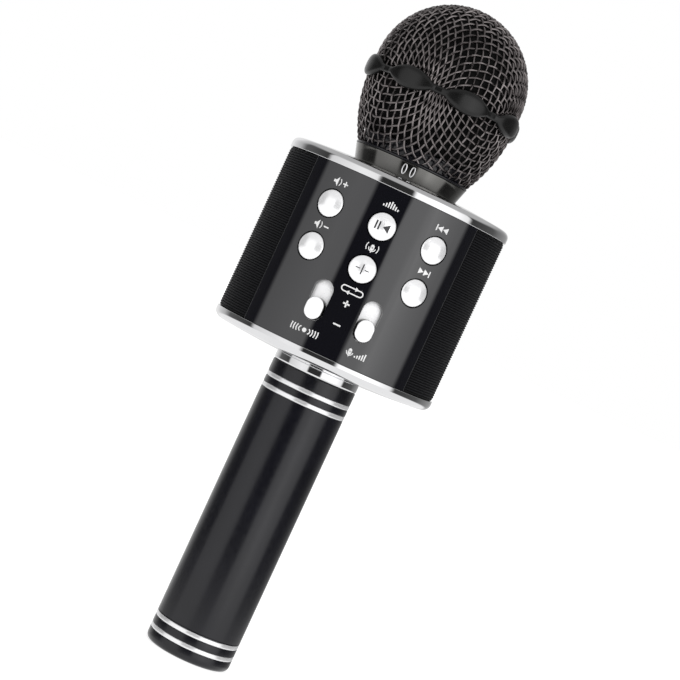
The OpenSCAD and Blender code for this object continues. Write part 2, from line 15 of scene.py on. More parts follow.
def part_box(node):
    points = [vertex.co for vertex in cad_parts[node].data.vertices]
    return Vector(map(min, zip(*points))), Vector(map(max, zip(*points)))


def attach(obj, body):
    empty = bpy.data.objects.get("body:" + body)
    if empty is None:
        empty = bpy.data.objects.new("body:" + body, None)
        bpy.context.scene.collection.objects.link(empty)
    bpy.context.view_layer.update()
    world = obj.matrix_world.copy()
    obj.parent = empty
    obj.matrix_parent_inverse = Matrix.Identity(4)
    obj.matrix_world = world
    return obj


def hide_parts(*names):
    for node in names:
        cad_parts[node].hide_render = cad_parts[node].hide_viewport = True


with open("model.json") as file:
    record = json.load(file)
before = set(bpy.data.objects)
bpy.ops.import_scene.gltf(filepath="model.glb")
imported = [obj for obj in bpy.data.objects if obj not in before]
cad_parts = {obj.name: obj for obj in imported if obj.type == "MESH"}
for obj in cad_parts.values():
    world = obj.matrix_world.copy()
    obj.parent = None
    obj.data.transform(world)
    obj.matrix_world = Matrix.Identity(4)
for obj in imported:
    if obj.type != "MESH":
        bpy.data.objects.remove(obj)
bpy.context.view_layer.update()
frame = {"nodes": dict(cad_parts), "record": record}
MM = 0.001


# ---- places read from the frame ----


def low_mm(node):
    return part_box(node)[0] / MM


def high_mm(node):
    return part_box(node)[1] / MM


def middle_mm(node):
    return (low_mm(node) + high_mm(node)) / 2


def angle_of(node):
    """Where a node sits round the body, in degrees from the front."""
    middle = middle_mm(node)
    return math.degrees(math.atan2(middle.x, -middle.y))


BODY_R = high_mm("side_cloth_right").x
PLATE_R = high_mm("top_end_plate").x
PANEL_LOW = low_mm("front_panel").z
PANEL_TOP = high_mm("front_panel").z
PANEL_H = PANEL_TOP - PANEL_LOW
HANDLE_R = high_mm("handle_tube").x
NECK_LOW = low_mm("neck_collar").z
GRILLE_LOW = low_mm("grille_collar").z
RING_LOW = low_mm("anti_roll_ring").z
RING_TOP = high_mm("anti_roll_ring").z
RING_MID = (RING_LOW + RING_TOP) / 2
RING_R = high_mm("anti_roll_ring").x
DOME_R = high_mm("grille_dome").x
TOP = high_mm("grille_dome").z
DOME_MID = TOP - DOME_R
RIB_PITCH = 0.85
RIB_DEPTH = 0.4
BUTTONS = (
    "button_volume_up", "button_volume_down", "button_play",
    "button_mode", "button_previous", "button_next",
)
SLIDERS = ("slider_echo", "slider_volume")


# ---- camera ----

EYE = Vector((8, -780, 144.6))
AIM = Vector((2.8, 0, 121.7))
ROLL_DEG = 24.8
LENS = 119.2
SENSOR_W = 36


def make_camera():
    data = bpy.data.cameras.new("camera")
    data.lens = LENS
    data.sensor_width = SENSOR_W
    camera = bpy.data.objects.new("camera", data)
    bpy.context.scene.collection.objects.link(camera)
    camera.location = EYE * MM
    camera.rotation_mode = "QUATERNION"
    roll = Quaternion((0, 0, 1), math.radians(ROLL_DEG))
    camera.rotation_quaternion = (AIM - EYE).to_track_quat("-Z", "Y") @ roll
    bpy.context.scene.camera = camera


# ---- material helpers ----


def principled(name, colour, roughness, **sockets):
    """A material with one Principled shader; keyword names are socket names with _ for spaces."""
    material = bpy.data.materials.new(name)
    material.use_nodes = True
    shader = material.node_tree.nodes["Principled BSDF"]
    shader.inputs["Base Color"].default_value = (*colour, 1)
    shader.inputs["Roughness"].default_value = roughness
    for socket, value in sockets.items():
        shader.inputs[socket.replace("_", " ")].default_value = value
    return material


def add_node(material, kind, **settings):
    node = material.node_tree.nodes.new(kind)
    for name, value in settings.items():
        setattr(node, name, value)
    return node


def link(material, source, target):
    material.node_tree.links.new(source, target)


def shader_of(material):
    return material.node_tree.nodes["Principled BSDF"]


def place_of(material):
    """Object coordinates, which are metres in the shared frame."""
    return add_node(material, "ShaderNodeTexCoord").outputs["Object"]


def noise(material, scale, detail=3.0, stretch=(1, 1, 1)):
    mapping = add_node(material, "ShaderNodeMapping")
    mapping.inputs["Scale"].default_value = stretch
    link(material, place_of(material), mapping.inputs["Vector"])
    texture = add_node(material, "ShaderNodeTexNoise")
    texture.inputs["Scale"].default_value = scale
    texture.inputs["Detail"].default_value = detail
    link(material, mapping.outputs["Vector"], texture.inputs["Vector"])
    return texture.outputs["Fac"]


def spread(material, value, low, high):
    """Stretches a value that lies mostly between 0.3 and 0.7 to run from low to high."""
    ranged = add_node(material, "ShaderNodeMapRange")
    ranged.inputs["From Min"].default_value = 0.3
    ranged.inputs["From Max"].default_value = 0.7
    ranged.inputs["To Min"].default_value = low
    ranged.inputs["To Max"].default_value = high
    link(material, value, ranged.inputs["Value"])
    return ranged.outputs["Result"]


def vary_roughness(material, value, low, high):
    link(material, spread(material, value, low, high), shader_of(material).inputs["Roughness"])


def vary_colour(material, value, first, second):
    mix = add_node(material, "ShaderNodeMix", data_type="RGBA")
    mix.inputs["A"].default_value = (*first, 1)
    mix.inputs["B"].default_value = (*second, 1)
    link(material, spread(material, value, 0, 1), mix.inputs["Factor"])
    link(material, mix.outputs["Result"], shader_of(material).inputs["Base Color"])


def bump(material, value, depth_mm, strength=1.0):
    node = add_node(material, "ShaderNodeBump")
    node.inputs["Distance"].default_value = depth_mm * MM
    node.inputs["Strength"].default_value = strength
    link(material, value, node.inputs["Height"])
    link(material, node.outputs["Normal"], shader_of(material).inputs["Normal"])


def finished(name, first, second, rough, grain, depth_mm, **sockets):
    """The common finish: colour drifts slowly, roughness and height vary with a fine grain."""
    material = principled(name, first, rough[0], **sockets)
    vary_colour(material, noise(material, grain / 12), first, second)
    vary_roughness(material, noise(material, grain / 3, 5), *rough)
    if depth_mm:
        bump(material, noise(material, grain, 2), depth_mm)
    return material


# ---- materials, one for each slot of the record ----


def ramp_by_radius(material, near_mm, far_mm):
    """Runs from 0 to 1 between two distances from the axis."""
    flat = add_node(material, "ShaderNodeVectorMath", operation="MULTIPLY")
    flat.inputs[1].default_value = (1, 1, 0)
    link(material, place_of(material), flat.inputs[0])
    length = add_node(material, "ShaderNodeVectorMath", operation="LENGTH")
    link(material, flat.outputs["Vector"], length.inputs[0])
    ranged = add_node(material, "ShaderNodeMapRange")
    ranged.inputs["From Min"].default_value = near_mm * MM
    ranged.inputs["From Max"].default_value = far_mm * MM
    link(material, length.outputs["Value"], ranged.inputs["Value"])
    return ranged.outputs["Result"]


def make_cloth_material():
    """Black ribbed cloth: fine upright yarns cross the modelled ribs, and the colour is darkened between
    them as painted shade in the grooves.
    """
    material = principled("cloth", (0.006, 0.006, 0.008), 0.62, Specular_IOR_Level=0.12)
    yarn = spread(material, noise(material, 2600, 2, (1, 1, 2.4)), 0.55, 1)
    # Painted shade: the radius ramp darkens the colour towards the bottom of the grooves between the
    # ribs.
    lit = add_node(material, "ShaderNodeMath", operation="MULTIPLY")
    link(material, yarn, lit.inputs[0])
    link(material, ramp_by_radius(material, BODY_R - RIB_DEPTH, BODY_R), lit.inputs[1])
    mix = add_node(material, "ShaderNodeMix", data_type="RGBA")
    mix.inputs["A"].default_value = (0.001, 0.001, 0.001, 1)
    mix.inputs["B"].default_value = (0.0065, 0.0065, 0.0085, 1)
    link(material, lit.outputs["Value"], mix.inputs["Factor"])
    link(material, mix.outputs["Result"], shader_of(material).inputs["Base Color"])
    bump(material, noise(material, 3400, 2, (1, 1, 0.5)), 0.12)
    return material


def make_handle_material():
    """Satin black lacquer with the faintest orange peel."""
    material = principled("satin_lacquer", (0.003, 0.003, 0.004), 0.3, Specular_IOR_Level=0.5)
    vary_colour(material, noise(material, 60, 3), (0.002, 0.002, 0.004), (0.004, 0.004, 0.007))
    vary_roughness(material, noise(material, 700, 4), 0.2, 0.27)
    bump(material, noise(material, 2600, 3), 0.006)
    return material


def make_materials():
    return {
        "black_mesh": finished(
            "mesh_lacquer", (0.1, 0.09, 0.09), (0.27, 0.245, 0.243), (0.18, 0.3), 2600, 0.03,
            Metallic=0.95,
        ),
        "gloss_black": finished(
            "piano_black", (0.003, 0.003, 0.005), (0.004, 0.004, 0.006), (0.02, 0.05), 400, 0.0008,
            Specular_IOR_Level=1.0,
        ),
        "ring_black": finished(
            "ring_black", (0.003, 0.003, 0.003), (0.005, 0.005, 0.005), (0.22, 0.3), 900, 0.004,
            Specular_IOR_Level=0.38,
        ),
        "chrome": finished(
            "bright_chrome", (0.76, 0.76, 0.77), (0.8, 0.8, 0.81), (0.04, 0.09), 500, 0.0008,
            Metallic=1.0,
        ),
        "satin_silver": finished(
            "satin_silver", (0.93, 0.93, 0.94), (0.97, 0.97, 0.98), (0.2, 0.26), 900, 0.003,
            Metallic=0.45,
        ),
        "pearl_silver": finished(
            "pearl_silver", (0.92, 0.92, 0.93), (0.97, 0.97, 0.98), (0.22, 0.3), 900, 0.002,
            Metallic=0.15,
        ),
        "bright_trim": finished(
            "bright_trim", (0.84, 0.84, 0.85), (0.9, 0.9, 0.91), (0.16, 0.24), 700, 0.001,
            Metallic=0.6,
        ),
        "dark_chrome": finished(
            "smoked_chrome", (0.16, 0.158, 0.15), (0.2, 0.197, 0.188), (0.1, 0.16), 500, 0.001,
            Metallic=1.0,
        ),
        "satin_black": make_handle_material(),
        "black_cloth": make_cloth_material(),
        "matte_black": finished(
            "moulded_black", (0.02, 0.02, 0.022), (0.035, 0.035, 0.037), (0.5, 0.65), 1500, 0.02
        ),
        "grey_plastic": finished(
            "moulded_grey", (0.1, 0.1, 0.11), (0.14, 0.14, 0.15), (0.45, 0.6), 1500, 0.02
        ),
        "rubber_black": finished(
            "rubber", (0.018, 0.018, 0.018), (0.03, 0.03, 0.03), (0.7, 0.85), 1200, 0.03
        ),
        "foam_black": finished(
            "open_foam", (0.002, 0.002, 0.002), (0.007, 0.007, 0.007), (0.9, 1.0), 1800, 0.25,
            Specular_IOR_Level=0.1,
        ),
        "steel": finished(
            "plated_steel", (0.5, 0.5, 0.52), (0.62, 0.62, 0.64), (0.25, 0.4), 1500, 0.005,
            Metallic=1.0,
        ),
        "magnet_grey": finished(
            "ferrite", (0.05, 0.05, 0.055), (0.09, 0.09, 0.095), (0.5, 0.7), 1600, 0.02, Metallic=0.4
        ),
        "paper_cone": finished(
            "pressed_pulp", (0.015, 0.015, 0.016), (0.03, 0.03, 0.03), (0.8, 0.95), 2200, 0.05
        ),
        "board_green": finished(
            "solder_mask", (0.01, 0.09, 0.03), (0.02, 0.13, 0.045), (0.25, 0.4), 900, 0.01
        ),
        "gold_contact": finished(
            "gold_plate", (0.75, 0.52, 0.2), (0.82, 0.6, 0.28), (0.18, 0.3), 900, 0.004,
            Metallic=1.0,
        ),
        "cell_wrap": finished(
            "shrink_wrap", (0.03, 0.12, 0.35), (0.05, 0.16, 0.42), (0.2, 0.35), 600, 0.01
        ),
        "light_guide": finished(
            "frosted_guide", (0.75, 0.78, 0.8), (0.85, 0.88, 0.9), (0.25, 0.4), 900, 0.005,
            Transmission_Weight=0.4,
        ),
        "print_white": finished(
            "white_ink", (0.62, 0.62, 0.62), (0.74, 0.74, 0.74), (0.45, 0.6), 3000, 0.004
        ),
        "print_dark": finished(
            "dark_ink", (0.02, 0.02, 0.022), (0.04, 0.04, 0.042), (0.4, 0.55), 3000, 0.004
        ),
    }


MATERIALS = make_materials()
NODE_SLOTS = {row["node"]: row["material_slot"] for row in frame["record"]["subparts"]}


def paint_cad_nodes():
    for node, thing in frame["nodes"].items():
        thing.data.materials.clear()
        thing.data.materials.append(MATERIALS[NODE_SLOTS[node]])


# ---- mesh helpers ----


def add_piece(name, points, faces, body, material, replaces=(), smooth_deg=40):
    """Makes a mesh from points in millimetres, rides it on a body and gives it its material."""
    mesh = bpy.data.meshes.new(name)
    mesh.from_pydata((np.asarray(points, float) * MM).tolist(), [], faces)
    mesh.validate()
    mesh.polygons.foreach_set("use_smooth", [True] * len(mesh.polygons))
    mesh.set_sharp_from_angle(angle=math.radians(smooth_deg))
    mesh.materials.append(MATERIALS[material])
    piece = bpy.data.objects.new(name, mesh)
    bpy.context.scene.collection.objects.link(piece)
    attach(piece, body)
    if replaces:
        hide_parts(*replaces)
    return piece


def outward(angle_deg):
    """Unit vector away from the axis at this angle from the front."""
    turn = math.radians(angle_deg)
    return np.array([math.sin(turn), -math.cos(turn), 0.0])


def on_body(angle_deg, z, local):
    """Puts local points (across, up, out) on the body at an angle and a height."""
    out = outward(angle_deg)
    across = np.array([-out[1], out[0], 0.0])
    up = np.array([0.0, 0.0, 1.0])
    local = np.asarray(local, float)
    return np.array([0, 0, z]) + local @ np.array([across, up, out])


def wrapped(angle_deg, z, flat, radius):
    """Bends flat points (across, up, height) round the body at this radius."""
    flat = np.asarray(flat, float)
    turn = math.radians(angle_deg) + flat[..., 0] / radius
    far = radius + flat[..., 2]
    return np.stack([far * np.sin(turn), -far * np.cos(turn), z + flat[..., 1]], axis=-1)


def softened(corners, steps=4):
    """Rounds the corners (r, z, size) of a closed outline, each over its own size."""
    points = []
    count = len(corners)
    for i, (r, z, size) in enumerate(corners):
        here = np.array([r, z])
        if not size:
            points.append(here)
            continue
        before = np.array(corners[i - 1][:2]) - here
        after = np.array(corners[(i + 1) % count][:2]) - here
        start = here + before / np.linalg.norm(before) * size
        end = here + after / np.linalg.norm(after) * size
        for t in np.linspace(0, 1, steps + 1):
            points.append((1 - t) ** 2 * start + 2 * t * (1 - t) * here + t * t * end)
    return points


def sweep_faces(segments, sides):
    """Faces of a closed outline with this many sides, swept all the way round."""
    faces = []
    for i in range(segments):
        first, second = i * sides, (i + 1) % segments * sides
        for j in range(sides):
            k = (j + 1) % sides
            faces.append((first + j, second + j, second + k, first + k))
    return faces


def revolved(outline, segments=160):
    """Points and faces of a closed (r, z) outline turned round the axis."""
    outline = np.array(outline)
    turns = np.linspace(0, 2 * math.pi, segments, endpoint=False)
    points = np.array([
        [[r * math.sin(a), -r * math.cos(a), z] for r, z in outline] for a in turns
    ]).reshape(-1, 3)
    return points, sweep_faces(segments, len(outline))


def capped_loft(rings):
    """Points and faces of a stack of rings with equal counts, closed at both ends."""
    count = len(rings[0])
    points = np.concatenate(rings)
    faces = []
    for i in range(len(rings) - 1):
        for j in range(count):
            k = (j + 1) % count
            low, high = i * count, (i + 1) * count
            faces.append((low + j, low + k, high + k, high + j))
    faces.append(tuple(reversed(range(count))))
    faces.append(tuple((len(rings) - 1) * count + j for j in range(count)))
    return points, faces


def joined(parts):
    """Points and faces of several closed shapes as one mesh."""
    points, faces = np.zeros((0, 3)), []
    for part_points, part_faces in parts:
        faces += [tuple(k + len(points) for k in face) for face in part_faces]
        points = np.concatenate([points, part_points])
    return points, faces


def turned(name, outline, body, material, replaces, segments=160):
    """A turned piece. Its outline runs anticlockwise, with r to the right and z up."""
    points, faces = revolved(outline, segments)
    return add_piece(name, points, faces, body, material, replaces)


def slab(outer, inner):
    """Points and faces of a closed slab between two grids of the same size."""
    rows, columns = outer.shape[:2]
    points = np.concatenate([outer.reshape(-1, 3), inner.reshape(-1, 3)])
    half = rows * columns

    def at(i, j, side=0):
        return side * half + i * columns + j

    faces = []
    for i in range(rows - 1):
        for j in range(columns - 1):
            faces.append((at(i, j), at(i, j + 1), at(i + 1, j + 1), at(i + 1, j)))
            faces.append((at(i, j, 1), at(i + 1, j, 1), at(i + 1, j + 1, 1), at(i, j + 1, 1)))
    for i in range(rows - 1):
        for j, (a, b) in ((0, (i + 1, i)), (columns - 1, (i, i + 1))):
            faces.append((at(a, j), at(b, j), at(b, j, 1), at(a, j, 1)))
    for j in range(columns - 1):
        for i, (a, b) in ((0, (j, j + 1)), (rows - 1, (j + 1, j))):
            faces.append((at(i, b), at(i, a), at(i, a, 1), at(i, b, 1)))
    return points, faces


# ---- woven grille ----

WIRE_R = 0.34
WEAVE = 0.3
PITCH = 2.7
PATH_STEPS = 3
NET_COUNT = 21
DOME_SQUARE_DEG = 28
BOWL_SQUARE_DEG = 42
BOWL_ARC_R = 50
BOWL_ARC_X = -22.65

# How far each half's wires run past the ring's middle, hidden inside it
OVERLAP = 0.5


class Shell:
    """A surface of revolution, given by its section from the pole (r = 0) outwards."""

    def __init__(self, section):
        self.section = np.array(section)
        legs = np.linalg.norm(np.diff(self.section, axis=0), axis=1)
        self.lengths = np.concatenate([[0], np.cumsum(legs)])
        tangents = np.gradient(self.section, axis=0)
        tangents /= np.linalg.norm(tangents, axis=1)[:, None]
        self.normals = np.stack([-tangents[:, 1], tangents[:, 0]], axis=1)
        points_inwards = self.normals[len(legs) // 2, 0] < 0
        if points_inwards:
            self.normals = -self.normals

    def at(self, length, turn):
        r = np.interp(length, self.lengths, self.section[:, 0])
        z = np.interp(length, self.lengths, self.section[:, 1])
        return np.array([r * math.cos(turn), r * math.sin(turn), z])

    def nearest(self, point):
        """The closest point of the surface, and the outward normal there."""
        radius = math.hypot(point[0], point[1])
        gaps = np.sum((self.section - (radius, point[2])) ** 2, axis=1)
        k = int(np.argmin(gaps))
        r, z = self.section[k]
        along = np.array([-self.normals[k, 1], self.normals[k, 0]])
        slide = (radius - r) * along[0] + (point[2] - z) * along[1]
        r, z = r + slide * along[0], z + slide * along[1]
        if radius < 1e-6:
            return np.array([0, 0, z]), np.array([0, 0, self.normals[k, 1]])
        c, s = point[0] / radius, point[1] / radius
        normal = np.array([self.normals[k, 0] * c, self.normals[k, 0] * s, self.normals[k, 1]])
        return np.array([r * c, r * s, z]), normal


def settle(shell, first, second, corner):
    """The next knot of the net: one pitch from both neighbours, on the surface."""
    knot = first + second - corner
    for _ in range(24):
        for fixed in (first, second):
            gap = knot - fixed
            knot = knot - 0.5 * gap * (1 - PITCH / max(np.linalg.norm(gap), 1e-9))
        knot = shell.nearest(knot)[0]
    return knot


def net_quarter(shell, count):
    """Knots of a square cloth of equal wires laid on the shell from its pole."""
    knots = {}
    for i in range(count):
        knots[i, 0] = shell.at(i * PITCH, 0)
        knots[0, i] = shell.at(i * PITCH, math.pi / 2)
    for i in range(1, count):
        for j in range(1, count):
            knots[i, j] = settle(shell, knots[i - 1, j], knots[i, j - 1], knots[i - 1, j - 1])
    return knots


def wire_paths(shell, count, low, high):
    """Both families of wires, as knots with their lifts, cut off level at low and high."""
    quarter = net_quarter(shell, count)

    def knot(i, j):
        point = quarter[abs(i), abs(j)]
        return np.array([point[0] * (-1 if i < 0 else 1), point[1] * (-1 if j < 0 else 1), point[2]])

    paths = []
    span = range(1 - count, count)
    for family in (0, 1):
        for fixed in span:
            run, before = [], None
            for moving in span:
                i, j = (moving, fixed) if family == 0 else (fixed, moving)
                point = knot(i, j)
                lift = WEAVE * (1 if (i + j + family) % 2 else -1)
                inside = low <= point[2] <= high
                if before is not None and inside != bool(run):
                    # The wire crosses a limit since the last knot, so it starts or ends there
                    limit = low if min(point[2], before[0][2]) < low else high
                    part = (limit - before[0][2]) / (point[2] - before[0][2])
                    cut = before[0] + part * (point - before[0])
                    run.append((cut, before[1] + part * (lift - before[1])))
                if inside:
                    run.append((point, lift))
                elif run:
                    paths.append(run)
                    run = []
                before = (point, lift)
            if run:
                paths.append(run)
    return [path for path in paths if len(path) > 1]


def smooth_path(shell, path):
    """Points between the knots, on the surface, with the weave as a smooth wave."""
    points, normals = [], []
    last = len(path) - 1
    for k, (point, lift) in enumerate(path):
        steps = PATH_STEPS if k < last else 1
        for step in range(steps):
            t = step / steps
            if k < last:
                following, next_lift = path[k + 1]
                place = point * (1 - t) + following * t
                ease = (1 - math.cos(math.pi * t)) / 2
                wave = lift * (1 - ease) + next_lift * ease
            else:
                place, wave = point, lift
            base, normal = shell.nearest(place)
            points.append(base + normal * wave)
            normals.append(normal)
    return np.array(points), np.array(normals)


def tubes(paths, radius, sides=7):
    """One mesh of closed round tubes along (points, normals) paths."""
    turns = np.linspace(0, 2 * math.pi, sides, endpoint=False)
    lofts = []
    for centres, normals in paths:
        tangents = np.gradient(centres, axis=0)
        tangents /= np.linalg.norm(tangents, axis=1)[:, None]
        across = np.cross(tangents, normals)
        across /= np.linalg.norm(across, axis=1)[:, None]
        upright = np.cross(across, tangents)
        lofts.append(capped_loft([
            [centre + radius * (math.cos(t) * a + math.sin(t) * b) for t in turns]
            for centre, a, b in zip(centres, across, upright)
        ]))
    return joined(lofts)


def turned_points(points, angle_deg):
    """Turns points round the axis, so that their +X comes to this angle from the front."""
    turn = math.radians(angle_deg - 90)
    c, s = math.cos(turn), math.sin(turn)
    return np.asarray(points) @ np.array([[c, s, 0], [-s, c, 0], [0, 0, 1]])


def woven_grille(name, section, low, high, square_at, replaces):
    """Weaves one half of the ball, with its square cells facing this angle."""
    shell = Shell(section)
    paths = [smooth_path(shell, path) for path in wire_paths(shell, NET_COUNT, low, high)]
    points, faces = tubes(paths, WIRE_R)
    add_piece(name, turned_points(points, square_at), faces, "grille_head", "black_mesh", replaces)


def make_dome():
    wire_mid = DOME_R - WIRE_R - WEAVE
    section = [
        (wire_mid * math.sin(a), DOME_MID + wire_mid * math.cos(a))
        for a in np.linspace(0, math.radians(125), 900)
    ]
    low = RING_MID - OVERLAP
    woven_grille("woven_dome", section, low, TOP, DOME_SQUARE_DEG, ("grille_dome",))


def make_bowl():
    """The lower half is woven as a bag: a flat floor turns up into the wall."""
    inset = WIRE_R + WEAVE
    floor_z = GRILLE_LOW + 0.6

    def wall_r(z):
        return BOWL_ARC_X + math.sqrt(BOWL_ARC_R ** 2 - (z - RING_MID) ** 2)

    floor = [(r, floor_z) for r in np.linspace(0, wall_r(floor_z) - inset, 300, endpoint=False)]
    wall = [(wall_r(z) - inset, z) for z in np.linspace(floor_z, RING_TOP, 500)]
    low, high = floor_z + 0.15, RING_MID + OVERLAP
    woven_grille("woven_bowl", floor + wall, low, high, BOWL_SQUARE_DEG, ("grille_lower",))


# ---- anti-roll ring ----

PADS = 8
PAD_FIRST_DEG = 18
PAD_HALF_DEG = 19.9
RING_WALL = 1.3
RING_OUT_R = DOME_R + 0.75
RING_HALF_H = 1.3

# Powers below 1 fill out the pads' outlines and square up the ring's section
PAD_OUT_POWER = 0.8
PAD_UP_POWER = 0.9
SECTION_OUT_POWER = 0.6
SECTION_UP_POWER = 0.75


def make_anti_roll_ring():
    """A thin ring that swells smoothly into its lens-shaped pads."""
    ring_in = DOME_R - RING_WALL
    pad_half = (RING_TOP - RING_LOW) / 2
    segments, sides = 720, 32
    points = []
    for i in range(segments):
        angle = 360 * i / segments
        off = abs((angle - PAD_FIRST_DEG + 180 / PADS) % (360 / PADS) - 180 / PADS)
        rise = max(1 - (off / PAD_HALF_DEG) ** 2, 0)
        far = RING_OUT_R + (RING_R - RING_OUT_R) * rise ** PAD_OUT_POWER
        half = max(RING_HALF_H, pad_half * rise ** PAD_UP_POWER)
        mid, deep = (ring_in + far) / 2, (far - ring_in) / 2
        for j in range(sides):
            t = 2 * math.pi * j / sides
            c, s = math.cos(t), math.sin(t)
            r = mid + deep * math.copysign(abs(c) ** SECTION_OUT_POWER, c)
            z = RING_MID + half * math.copysign(abs(s) ** SECTION_UP_POWER, s)
            points.append(outward(angle) * r + (0, 0, z))
    add_piece(
        "moulded_ring", points, sweep_faces(segments, sides), "grille_head", "ring_black",
        ("anti_roll_ring",), smooth_deg=70,
    )


# ---- neck ----

NECK_LOW_R = 19.0
PIN_R = 17.5
PIN_BORE_R = 14
EYELET_W = 1.3
EYELET_H = 3.4
EYELET_WIRE_R = 0.24
EYELET_DEGS = (-4.6, 4.0)


def make_neck_ring():
    top = GRILLE_LOW - 0.05
    neck = high_mm("neck_collar")
    outline = softened([
        (PIN_BORE_R, NECK_LOW, 0), (NECK_LOW_R, NECK_LOW, 0.2), (neck.x, top, 0.35),
        (PIN_R, top, 0.2), (PIN_R, neck.z, 0.4), (PIN_BORE_R, neck.z, 0.4),
    ])
    turned("neck_ring", outline, "microphone", "dark_chrome", ("neck_collar",))


def make_eyelets():
    """Two small upright ovals on the sloping front of the neck."""
    slope = (high_mm("neck_collar").x - NECK_LOW_R) / (GRILLE_LOW - NECK_LOW)
    middle = (NECK_LOW + GRILLE_LOW) / 2 + 0.1
    loops = []
    for angle in EYELET_DEGS:
        path, normals = [], []
        for t in np.linspace(0, 2 * math.pi, 25):
            z = middle + EYELET_H / 2 * math.sin(t)
            r = NECK_LOW_R + slope * (z - NECK_LOW) + 0.04
            turn = angle + math.degrees(EYELET_W / 2 * math.cos(t) / r)
            path.append(outward(turn) * r + (0, 0, z))
            normals.append(outward(turn))
        loops.append((np.array(path), np.array(normals)))
    points, faces = tubes(loops, EYELET_WIRE_R, sides=8)
    add_piece("neck_eyelets", points, faces, "microphone", "chrome")


def make_grille_ring():
    """The ring that the bowl's wires end in, with its sleeve inside them."""
    low = GRILLE_LOW
    lip_r = high_mm("grille_collar").x - 0.1
    bore_r, sleeve_r, sleeve_top = 17.75, 19.9, low + 5.4
    outline = softened([
        (bore_r, low, 0), (lip_r, low, 0.3), (lip_r, low + 0.7, 0.3), (sleeve_r, low + 0.9, 0.2),
        (sleeve_r, sleeve_top, 0.3), (bore_r, sleeve_top, 0.3),
    ])
    turned("grille_ring", outline, "grille_head", "satin_black", ("grille_collar",))


# ---- end plates ----

PLATE_RISE = 2.4
PLATE_RIM = 3.7
PLATE_INNER_R = 37.5
PLATE_HOLE_R = 13


def crown_height(r):
    """Height of an end plate's shallow crown over its inner face."""
    radius = (PLATE_R ** 2 + PLATE_RISE ** 2) / (2 * PLATE_RISE)
    return PLATE_RIM + PLATE_RISE - radius + math.sqrt(radius ** 2 - r ** 2)


def make_end_plate(name, node, edge_z, way, edge_r, seat_r):
    """A chrome plate: upright band, rounded rim, crowned face. way is 1 up and -1 down."""
    face_r = PLATE_R - edge_r
    middle = crown_height(face_r) - edge_r
    rim = [
        (face_r + edge_r * math.cos(a), middle + edge_r * math.sin(a), 0)
        for a in np.linspace(0, math.pi / 2, 28)
    ]
    face = [(r, crown_height(r), 0) for r in np.linspace(face_r, seat_r, 28)[1:]]
    seat_h = crown_height(seat_r)
    gap, back = 0.12, 1.2
    outline = softened(
        [(PLATE_INNER_R, gap, 0), (PLATE_R, gap, 0.2)] + rim + face
        + [(PLATE_HOLE_R, seat_h, 0.3), (PLATE_HOLE_R, back, 0), (PLATE_INNER_R, back, 0)]
    )
    placed = [(r, edge_z + way * h) for r, h in outline]
    if way < 0:
        placed.reverse()
    turned(name, placed, "microphone", "chrome", (node,), segments=256)


# ---- handle ----

TRIM_W = 1.8
TRIM_DEPTH = 0.6
SPIGOT_R = 13.3


def trim_middles(node):
    """Heights of the middles of a node's two trim rings."""
    return (low_mm(node).z + TRIM_W / 2, high_mm(node).z - TRIM_W / 2)


def grooves(node):
    """Corners of the two grooves that a node's trim rings sit in."""
    corners = []
    floor_r = HANDLE_R - TRIM_DEPTH
    for middle in trim_middles(node):
        low, high = middle - TRIM_W / 2, middle + TRIM_W / 2
        corners += [(HANDLE_R, low, 0.12), (floor_r, low, 0), (floor_r, high, 0), (HANDLE_R, high, 0.12)]
    return corners


def make_trim(name, node, body):
    rings = []
    inner_r = HANDLE_R - TRIM_DEPTH + 0.02
    for middle in trim_middles(node):
        low, high = middle - TRIM_W / 2 + 0.03, middle + TRIM_W / 2 - 0.03
        corners = [(inner_r, low, 0), (HANDLE_R, low, 0.5), (HANDLE_R, high, 0.5), (inner_r, high, 0)]
        rings.append(revolved(softened(corners, steps=6)))
    points, faces = joined(rings)
    add_piece(name, points, faces, body, "bright_trim", (node,))


def make_tube():
    low, top, bore_r = low_mm("handle_tube").z, high_mm("handle_tube").z, 13.5
    outline = softened(
        [(bore_r, low, 0.2), (HANDLE_R, low, 0.15)] + grooves("upper_trim_rings")
        + [(HANDLE_R, top, 0.15), (bore_r, top, 0.2)]
    )
    turned("turned_tube", outline, "microphone", "satin_black", ("handle_tube",))


def make_tail():
    """The tail cap: a shallow ring turned in its flat face, a round edge, and a hollow spigot."""
    shoulder, top = low_mm("handle_tube").z - 0.04, high_mm("tail_cap").z
    pocket_r, floor_z = 10, 4
    outline = softened(
        [(0.01, 0, 0), (9.2, 0, 0.2), (9.5, 0.35, 0.2), (10.1, 0.35, 0.2), (10.4, 0, 0.2),
         (HANDLE_R, 0, 2.4)]
        + grooves("tail_trim_rings")
        + [(HANDLE_R, shoulder, 0.15), (SPIGOT_R, shoulder, 0.1), (SPIGOT_R, top, 0.5),
           (pocket_r, top, 0.3), (pocket_r, floor_z, 0), (0.01, floor_z, 0)],
        steps=6,
    )
    turned("turned_tail", outline, "tail_end", "satin_black", ("tail_cap",))


def make_collar():
    low, top = low_mm("handle_collar").z, high_mm("handle_collar").z
    shoulder, bore_r = high_mm("handle_tube").z + 0.04, 11
    outline = softened([
        (bore_r, low, 0.3), (SPIGOT_R, low, 0.3), (SPIGOT_R, shoulder, 0.1),
        (HANDLE_R, shoulder, 0.9), (HANDLE_R, top, 0.3), (bore_r, top, 0.2),
    ])
    turned("bright_collar", outline, "microphone", "chrome", ("handle_collar",))


# ---- cloth ----

RIB_ROWS = 8
CLOTH_COLUMNS = 84
TUCK = 0.5
TUCK_W = 1.2
TUCK_SIDE_W = 0.9
CLOTH_T = 0.6
RIB_POWER = 0.7


